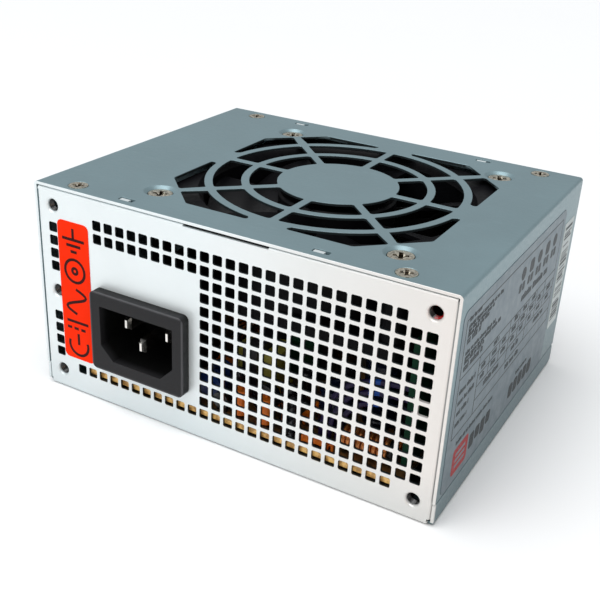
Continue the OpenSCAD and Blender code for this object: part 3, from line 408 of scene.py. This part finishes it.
def coil_wire(name):
    """Enamelled copper: a clear coat over metal, darker in patches."""
    look = Look(name)
    copper = (0.72, 0.25, 0.06)
    look.colour(look.mix(look.ramp(look.noise(500, 3), 0, 1), shade(copper, 0.6), shade(copper, 1.1)))
    gloss = look.ramp(look.noise(1500, 2), 0.25, 0.4)
    look.set(metallic=0.85, roughness=gloss, coat_weight=0.6, coat_roughness=0.15)
    return look.material


def fan_laminate(name):
    """The fan's small circuit board: woven fibre under green resin."""
    look = Look(name)
    weave = look.add("ShaderNodeTexWave", wave_type="BANDS", bands_direction="DIAGONAL")
    look.feed(weave.inputs["Vector"], look.place)
    weave.inputs["Scale"].default_value = 900
    weave.inputs["Distortion"].default_value = 2
    weave_tone = look.maths("MULTIPLY", weave.outputs["Fac"], look.noise(200, 3))
    look.colour(look.mix(weave_tone, (0.02, 0.20, 0.08), (0.01, 0.10, 0.04)))
    look.set(roughness=look.ramp(look.noise(800, 2), 0.35, 0.55), coat_weight=0.2)
    look.bump(weave.outputs["Fac"], 0.1, 0.02 * MM)
    return look.material


def board_laminate(name):
    """Paper laminate with solder and dark lacquer in patches, and a pale sawn edge on the inlet side that
    carries a painted golden highlight.
    """
    look = Look(name)
    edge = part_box("main_board")[0].y
    fibres = look.ramp(look.noise(650, 3, 0.6), 0, 1, 0.40, 0.60)
    # The sawn edge's pale tone, raised by a painted golden highlight.
    sawn = look.mix(fibres, (0.48, 0.255, 0.075), (0.97, 0.61, 0.20))
    patches = look.ramp(look.noise(260, 3, 0.6), 0, 1, 0.42, 0.58)
    lacquer = look.mix(patches, (0.22, 0.11, 0.035), (0.045, 0.028, 0.014))
    look.colour(look.mix(look.ramp(look.axes()[1], 0, 1, edge + 0.1 * MM, edge + 0.4 * MM), sawn, lacquer))
    look.set(roughness=look.ramp(look.noise(800, 2), 0.3, 0.5))
    look.bump(look.noise(1500, 2), 0.15, 0.03 * MM)
    return look.material


PLAIN_LOOKS = {
    "screw_steel": dict(base=(0.30, 0.28, 0.24), rough=0.22, metallic=1.0, spread=0.25,
                        blotch=1200, grain=3000, bump=0.3),
    "voltage_red": dict(base=(0.90, 0.026, 0.001), rough=0.6, spread=0.05,
                        blotch=150, grain=3000, bump=0.08, specular=0.05),
    "serial_paper": dict(base=(0.55, 0.60, 0.60), rough=0.7, spread=0.05, blotch=200, bump=0.2),
    "bushing_black": dict(base=(0.012, 0.012, 0.013), rough=0.45),
    "insulation": dict(base=(0.012, 0.012, 0.012), rough=0.4),
    "contact_metal": dict(base=(0.80, 0.78, 0.74), rough=0.2, metallic=1.0, spread=0.08,
                          blotch=600, grain=3000),
    "mains_insulation": dict(base=(0.05, 0.02, 0.012), rough=0.45),
    "earth_insulation": dict(base=(0.05, 0.14, 0.015), rough=0.45),
    "fan_plastic": dict(base=(0.004, 0.004, 0.005), rough=0.45, spread=0.15,
                        blotch=200, grain=3500, bump=0.25, specular=0.14),
    "fan_steel": dict(base=(0.30, 0.30, 0.30), rough=0.3, metallic=1.0),
    "magnet": dict(base=(0.05, 0.05, 0.05), rough=0.6),
    "bearing_bronze": dict(base=(0.55, 0.38, 0.16), rough=0.35, metallic=1.0),
    "clip_plastic": dict(base=(0.8, 0.8, 0.78), rough=0.4),
    "stator_steel": dict(base=(0.3, 0.31, 0.33), rough=0.4, metallic=0.9),
    "fan_lead_insulation": dict(base=(0.30, 0.01, 0.008), rough=0.4),
    "plug_nylon": dict(base=(0.72, 0.70, 0.60), rough=0.4),
    "standoff_brass": dict(base=(0.70, 0.50, 0.20), rough=0.25, metallic=1.0),
    "heatsink_aluminium": dict(base=(0.20, 0.20, 0.21), rough=0.35, metallic=0.9, spread=0.08),
    "epoxy_black": dict(base=(0.008, 0.008, 0.008), rough=0.4),
    "pad_silicone": dict(base=(0.10, 0.11, 0.12), rough=0.6),
    "bulk_sleeve": dict(base=(0.005, 0.006, 0.015), rough=0.25),
    "output_sleeve": dict(base=(0.005, 0.009, 0.03), rough=0.25),
    "small_sleeve": dict(base=(0.006, 0.006, 0.009), rough=0.25),
    "ferrite": dict(base=(0.010, 0.010, 0.012), rough=0.4),
    "ring_powder": dict(base=(0.30, 0.22, 0.02), rough=0.4),
    "yellow_tape": dict(base=(0.34, 0.30, 0.05), rough=0.3),
    "green_tape": dict(base=(0.01, 0.07, 0.03), rough=0.3),
    "x_capacitor_box": dict(base=(0.25, 0.17, 0.015), rough=0.35),
    "y_capacitor_coat": dict(base=(0.006, 0.035, 0.17), rough=0.3),
    "fuse_glass": dict(base=(0.7, 0.72, 0.72), rough=0.15, metallic=0.3),
    "thermistor_coat": dict(base=(0.02, 0.08, 0.04), rough=0.35),
    "resistor_body": dict(base=(0.90, 0.20, 0.006), rough=0.45),
    "control_board_mask": dict(base=(0.004, 0.050, 0.022), spread=0.4, blotch=500, specular=0.15),
    "label_ink": dict(base=(0.020, 0.026, 0.030), spread=0.2, blotch=500, bump=0.1, specular=0.2),
    "label_grey": dict(base=(0.045, 0.055, 0.060), spread=0.2, blotch=500, bump=0.1, specular=0.2),
    "label_red": dict(base=(0.33, 0.018, 0.022), blotch=400, bump=0.1, specular=0.2),
    "label_dark_red": dict(base=(0.030, 0.004, 0.003), spread=0.2, blotch=400, bump=0.1, specular=0.1),
}
SPECIAL_LOOKS = {
    "cover_steel": cover_sheet,
    "tray_steel": tray_sheet,
    "rating_foil": label_foil,
    "inlet_plastic": inlet_moulding,
    "copper": coil_wire,
    "fan_board": fan_laminate,
    "board": board_laminate,
    "control_lead_insulation": lead_insulation,
    "thread_steel": thread_steel,
}
MATERIALS = {name: plain(name, **numbers) for name, numbers in PLAIN_LOOKS.items()}
MATERIALS.update((name, make(name)) for name, make in SPECIAL_LOOKS.items())

for part in frame["record"]["subparts"]:
    mesh = nodes[part["node"]].data
    mesh.materials.clear()
    mesh.materials.append(MATERIALS[part["material_slot"]])
for name in ("cover_screws", "fan_screws"):
    nodes[name].data.materials[0] = screw_head(name)


# ---- Edges of the folded and moulded pieces ----

EDGE_WIDTHS = {"cover": 0.12 * MM, "base_tray": 0.1 * MM, "inlet_housing": 0.25 * MM}


def soften(node, width):
    """Rounds the sharp edges of a CAD piece by width and shades its flat faces evenly."""
    piece = nodes[node]
    mesh = piece.data
    if "custom_normal" in mesh.attributes:
        mesh.attributes.remove(mesh.attributes["custom_normal"])
    mesh.shade_smooth()
    weld = piece.modifiers.new("weld", "WELD")
    weld.merge_threshold = 0.002 * MM
    flat = piece.modifiers.new("flat", "DECIMATE")
    flat.decimate_type = "DISSOLVE"
    flat.angle_limit = math.radians(0.5)
    bevel = piece.modifiers.new("bevel", "BEVEL")
    bevel.width = width
    bevel.segments = 2
    bevel.limit_method = "ANGLE"
    bevel.angle_limit = math.radians(35)
    bevel.harden_normals = True
    even = piece.modifiers.new("even", "WEIGHTED_NORMAL")
    even.weight = 100
    even.keep_sharp = True


for name, width in EDGE_WIDTHS.items():
    soften(name, width)


# ---- Printed shapes: loops of (u, v) points in mm, where u runs along a label and v is the height ----

def add_piece(name, verts, faces, material):
    """A piece of the chassis that Blender adds, in the CAD material slot that it belongs to."""
    mesh = bpy.data.meshes.new(name)
    mesh.from_pydata(verts, [], faces)
    mesh.materials.append(MATERIALS[material])
    piece = bpy.data.objects.new(name, mesh)
    scene.collection.objects.link(piece)
    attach(piece, "chassis")


def on_right_side(label):
    """How a label on the case's right side turns (u, v, lift) into a point."""
    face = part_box(label)[1].x
    return lambda u, v, lift: (face + lift * MM, u * MM, v * MM)


def on_inlet_panel(label):
    """How a label on the inlet panel turns (u, v, lift) into a point."""
    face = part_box(label)[0].y
    return lambda u, v, lift: (u * MM, face - lift * MM, v * MM)


def print_shapes(name, point, shapes, ink, thick=0.02):
    """One piece of thin closed prisms, one for each loop, that rise to thick above the label's face."""
    verts, faces = [], []
    for loop in shapes:
        count, first = len(loop), len(verts)
        verts += [point(u, v, lift) for lift in (0.002, thick) for u, v in loop]
        faces += [[first + count + k for k in range(count)], [first + k for k in reversed(range(count))]]
        for k in range(count):
            following = (k + 1) % count
            faces.append([first + k, first + following, first + count + following, first + count + k])
    add_piece(name, verts, faces, ink)


def bar(u0, u1, v0, v1):
    return [(u0, v0), (u1, v0), (u1, v1), (u0, v1)]


def round_bar(u0, u1, v0, v1, radius):
    corners = ((u1 - radius, v1 - radius, 0), (u0 + radius, v1 - radius, 90),
               (u0 + radius, v0 + radius, 180), (u1 - radius, v0 + radius, 270))
    points = [(u, v, math.radians(start + turn)) for u, v, start in corners for turn in range(0, 91, 18)]
    return [(u + radius * math.cos(angle), v + radius * math.sin(angle)) for u, v, angle in points]


def frame_bars(u0, u1, v0, v1, width):
    """The four sides of a rectangle, drawn as bars inside it."""
    return [bar(u0, u1, v1 - width, v1), bar(u0, u1, v0, v0 + width),
            bar(u0, u0 + width, v0 + width, v1 - width), bar(u1 - width, u1, v0 + width, v1 - width)]


def circle(u, v, radius, count):
    turns = [2 * math.pi * k / count for k in range(count)]
    return [(u + radius * math.cos(turn), v + radius * math.sin(turn)) for turn in turns]


def ring(u, v, radius, width):
    """Quads between two circles, the outer one with the given radius."""
    outer, inner = circle(u, v, radius, 24), circle(u, v, radius - width, 24)
    return [[outer[k - 1], outer[k], inner[k], inner[k - 1]] for k in range(24)]


def ribbon(points, width):
    """Quads of a given width along a path."""
    rim = []
    for i, (u, v) in enumerate(points):
        (u0, v0), (u1, v1) = points[max(i - 1, 0)], points[min(i + 1, len(points) - 1)]
        reach = width / 2 / math.hypot(u1 - u0, v1 - v0)
        aside = ((v0 - v1) * reach, (u1 - u0) * reach)
        rim.append(((u + aside[0], v + aside[1]), (u - aside[0], v - aside[1])))
    return [[near[0], near[1], far[1], far[0]] for near, far in zip(rim, rim[1:])]


def line_of_print(draw, start, length, v, height):
    """A line of unreadable print: short bars in word-like groups."""
    made, u = [], start
    while u < start + length - 0.3:
        for _ in range(draw.randint(3, 8)):
            width = height * draw.uniform(0.35, 0.62)
            top = v + height * draw.choice((0.5, 0.5, 0.78))
            if u + width > start + length:
                break
            made.append(bar(u, u + width, v - height * 0.5, top))
            u += width + height * 0.16
        u += height * 0.5
    return made


# ---- The rating label: small print, approval marks, a ruled table, bold bars and a red square ----

# The near edge is the one beside the inlet panel. Each line of print is its start from the near edge,
# its length, its depth below the label's top and its height, in mm.
HEADING_PRINT = ((4.2, 8.3, 3.2, 1.0), (4.2, 24.7, 5.1, 0.9), (4.2, 18, 6.3, 0.9), (4.2, 15.3, 7.5, 0.9),
                 (4.2, 9.3, 9.0, 1.5), (4.2, 21.3, 12.2, 0.9), (4.2, 25.7, 13.5, 0.9), (4.2, 14, 14.7, 0.9),
                 (4.2, 13.7, 16.4, 1.4), (46.8, 24, 15, 1.7), (6.8, 27, 38.7, 0.9), (54.2, 10.5, 41.6, 0.9))
ROW_PRINT = ((3.6, 11.3, 22.6, 1.1), (3.6, 11, 25.6, 1.1), (3.6, 8.7, 28.6, 1.1), (3.6, 8.2, 31.8, 1.1))
TABLE_PRINT = ((27, 4.4, 19.8, 1.3), (43.5, 3.5, 19.8, 1.3), (51, 4.2, 19.8, 1.3), (59, 3.4, 19.8, 1.3),
               (22.5, 12, 29.2, 1.3), (44.5, 6.7, 29.2, 1.3), (64.5, 10.4, 29.2, 1.3), (41, 12.4, 33.4, 1.3))
TABLE_START, TABLE_END = 2.4, 81        # from the label's near edge
TABLE_TOP, TABLE_FOOT = 18.4, 35.5      # below the label's top
TABLE_ROWS = (21.2, 24, 27.2, 31.2)
FIRST_COLUMN, SECOND_COLUMN, COLUMN_STEP = 16.6, 24.7, 7.75
CELL_PRINT = 3.8                        # how long the print in a cell is
MARK_START, MARK_STEP, MARK_REACH = 45.5, 7.2, 1.9
RULE = 0.28


def rating_print(draw, near, top):
    """All of the label's unreadable print: headings, the table's row names, two rows of cells and notes."""
    def lines(rows):
        return [shape for start, length, down, height in rows
                for shape in line_of_print(draw, near + start, length, top - down, height)]

    shapes = lines(HEADING_PRINT) + lines(ROW_PRINT)
    edges = [FIRST_COLUMN] + [SECOND_COLUMN + COLUMN_STEP * k for k in range(7)] + [TABLE_END]
    for down in (22.6, 25.6):
        for start, end in zip(edges, edges[1:]):
            middle = near + (start + end) / 2
            shapes += line_of_print(draw, middle - CELL_PRINT / 2, CELL_PRINT, top - down, 1.2)
    return shapes + lines(TABLE_PRINT)


def rating_table(near, top):
    """The frame around the upper part of the label and the rules of its table."""
    left, right, first = near + TABLE_START, near + TABLE_END, near + FIRST_COLUMN
    head, foot = top - TABLE_TOP, top - TABLE_FOOT
    rows = [top - down for down in TABLE_ROWS]
    columns = [near + SECOND_COLUMN + COLUMN_STEP * k for k in range(7)]
    shapes = frame_bars(left, right, foot, top - 2.7, RULE) + [bar(left, right, head - RULE, head)]
    shapes += [bar(first, right, v - RULE, v) for v in rows] + [bar(first, first + RULE, foot, head)]
    shapes += [bar(u, u + RULE, rows[2], head if k >= 2 else rows[0]) for k, u in enumerate(columns)]
    return shapes + [bar(u, u + RULE, rows[3], rows[2]) for u in (columns[2], columns[4])]


def approval_marks(near, top):
    """Five blank marks, round and square by turns, each with two small bars under it."""
    shapes, v = [], top - 7
    for k in range(5):
        u = near + MARK_START + MARK_STEP * k
        square = round_bar(u - MARK_REACH, u + MARK_REACH, v - MARK_REACH, v + MARK_REACH, 1.0)
        shapes.append(square if k % 2 else circle(u, v, MARK_REACH, 20))
        shapes += [round_bar(u + start, u + start + 2, top - 12.2, top - 9.6, 0.5) for start in (-2.3, 0.3)]
    return shapes


def bold_bars(near, top):
    """Heavy bars beside the red square and near the label's far end."""
    starts = [near + 17.8 + 4.1 * k for k in range(4)]
    shapes = [round_bar(u, u + 3.4, top - 46.8 + k % 2 * 0.9, top - 42.2, 0.8) for k, u in enumerate(starts)]
    starts = [near + 49.5 + 4.3 * k for k in range(5)]
    return shapes + [round_bar(u, u + 3.6, top - 48.0, top - 43.4, 1.2) for u in starts]


def print_rating_label():
    low, high = (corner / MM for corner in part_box("rating_label"))
    near, top = low.y, high.z
    u, v = near + 11.2, top - 44.4      # the red square's middle
    square = [round_bar(u - 5.3, u + 5.3, v - 4, v + 4, 1.2)]
    square_bars = [bar(u - 3.4, u + 3.4, v + rise - 0.45, v + rise + 0.45) for rise in (-1.8, 0, 1.8)]
    point = on_right_side("rating_label")
    for name, shapes, ink, thick in (
            ("rating_small_print", rating_print(random.Random(4), near, top), "label_ink", 0.02),
            ("rating_table_lines", rating_table(near, top), "label_ink", 0.016),
            ("rating_marks", approval_marks(near, top), "label_grey", 0.024),
            ("rating_bold_bars", bold_bars(near, top), "label_ink", 0.028),
            ("rating_red_square", square, "label_red", 0.018),
            ("rating_red_square_bars", square_bars, "rating_foil", 0.03)):
        print_shapes(name, point, shapes, ink, thick)


# ---- The other two labels ----

def print_serial_label():
    """A column of generic bars of uneven height, a few of them short."""
    low, high = (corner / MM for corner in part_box("serial_label"))
    draw = random.Random(9)
    margin, short = 1.2, 2.6
    shapes, v = [], high.z - 1.6
    while v > low.z + 2:
        height = draw.choice((0.35, 0.35, 0.6, 0.9))
        end = high.y - draw.choice((margin, margin, margin, short))
        shapes.append(bar(low.y + margin, end, v - height, v))
        v -= height + draw.choice((0.35, 0.5, 0.9, 1.8))
    print_shapes("serial_bars", on_right_side("serial_label"), shapes, "label_grey")


def print_voltage_label():
    """Generic signs of a mains inlet, in thin strokes, from the top down.

    They are an earth sign, a double ring, a wave, a solid and a broken line, and an open ring with a stem.
    """
    low, high = (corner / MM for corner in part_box("voltage_label"))
    u, top = (low.x + high.x) / 2, high.z
    stroke, reach = 0.85, 3.9

    def across(half, down):
        return bar(u - half, u + half, top - down, top - down + stroke)

    def upright(start, end):
        return bar(u - stroke / 2, u + stroke / 2, top - end, top - start)

    wave = [(u + 3.5 * math.sin(k * math.pi / 8), top - 20.2 - 7.8 * k / 16) for k in range(17)]
    turns = [math.radians(degrees) for degrees in range(-200, 21, 10)]
    open_ring = [(u + 3.4 * math.cos(turn), top - 38 + 3.4 * math.sin(turn)) for turn in turns]
    dashes = [u - reach + 2.5 * k for k in range(3)]
    shapes = [across(reach, 5.6), across(2.5, 7.4), across(1.1, 9.2), upright(1.9, 4.9)]
    shapes += ring(u, top - 14.6, 3.9, stroke) + ring(u, top - 14.6, 1.3, stroke)
    shapes += ribbon(wave, stroke) + [across(reach, 31.1)]
    shapes += [bar(start, start + 1.6, top - 33.2, top - 33.2 + stroke) for start in dashes]
    shapes += ribbon(open_ring, stroke) + [upright(34.4, 38)]
    print_shapes("voltage_signs", on_inlet_panel("voltage_label"), shapes, "label_dark_red")


print_rating_label()
print_serial_label()
print_voltage_label()


# ---- Threads of the tapped mounting holes ----

THREAD_PITCH = 0.6      # in mm, as are the two below
THREAD_GAP = 0.02       # from the hole's wall to the thread's root
THREAD_DEPTH = 0.26


def cut_threads():
    """Ridges inside the panel's tapped holes, as one piece of closed rings with a triangular section."""
    holes = [(side * HOLES_ACROSS, MIDDLE_HEIGHT + rise * HOLES_UP) for side in (-1, 1) for rise in (-1, 1)]
    holes.append((MIDDLE_HOLE["pos_m"][0], MIDDLE_HOLE["pos_m"][2]))
    root = MIDDLE_HOLE["dims"]["r_mm"] - THREAD_GAP
    section = ((root, 0), (root - THREAD_DEPTH, THREAD_PITCH * 0.45), (root, THREAD_PITCH * 0.9))
    mouth = MIDDLE_HOLE["pos_m"][1] / MM - MIDDLE_HOLE["dims"]["length_mm"] / 2 + 0.05
    count = 24
    verts, faces = [], []
    for x, z in holes:
        for ridge in range(3):
            first = len(verts)
            for radius, along in section:
                y = (mouth + ridge * THREAD_PITCH + along) * MM
                verts += [(across, y, up) for across, up in circle(x, z, radius * MM, count)]
            for start, end in ((0, 1), (1, 2), (2, 0)):
                a, b = first + start * count, first + end * count
                faces += [[a + k, b + k, b + (k + 1) % count, a + (k + 1) % count] for k in range(count)]
    add_piece("mount_threads", verts, faces, "thread_steel")


cut_threads()


# ---- Floor ----

def make_floor():
    reach = 6
    mesh = bpy.data.meshes.new("floor")
    corners = [(-reach, -reach, 0), (reach, -reach, 0), (reach, reach, 0), (-reach, reach, 0)]
    mesh.from_pydata(corners, [], [(0, 1, 2, 3)])
    floor = bpy.data.objects.new("floor", mesh)
    floor.location.z = -0.1 * MM
    look = Look("floor")
    look.colour(look.mix(look.noise(3, 2), (0.90, 0.90, 0.90), (0.93, 0.93, 0.93)))
    look.set(roughness=0.6)
    mesh.materials.append(look.material)
    scene.collection.objects.link(floor)


place_camera()
light_the_studio()
make_floor()
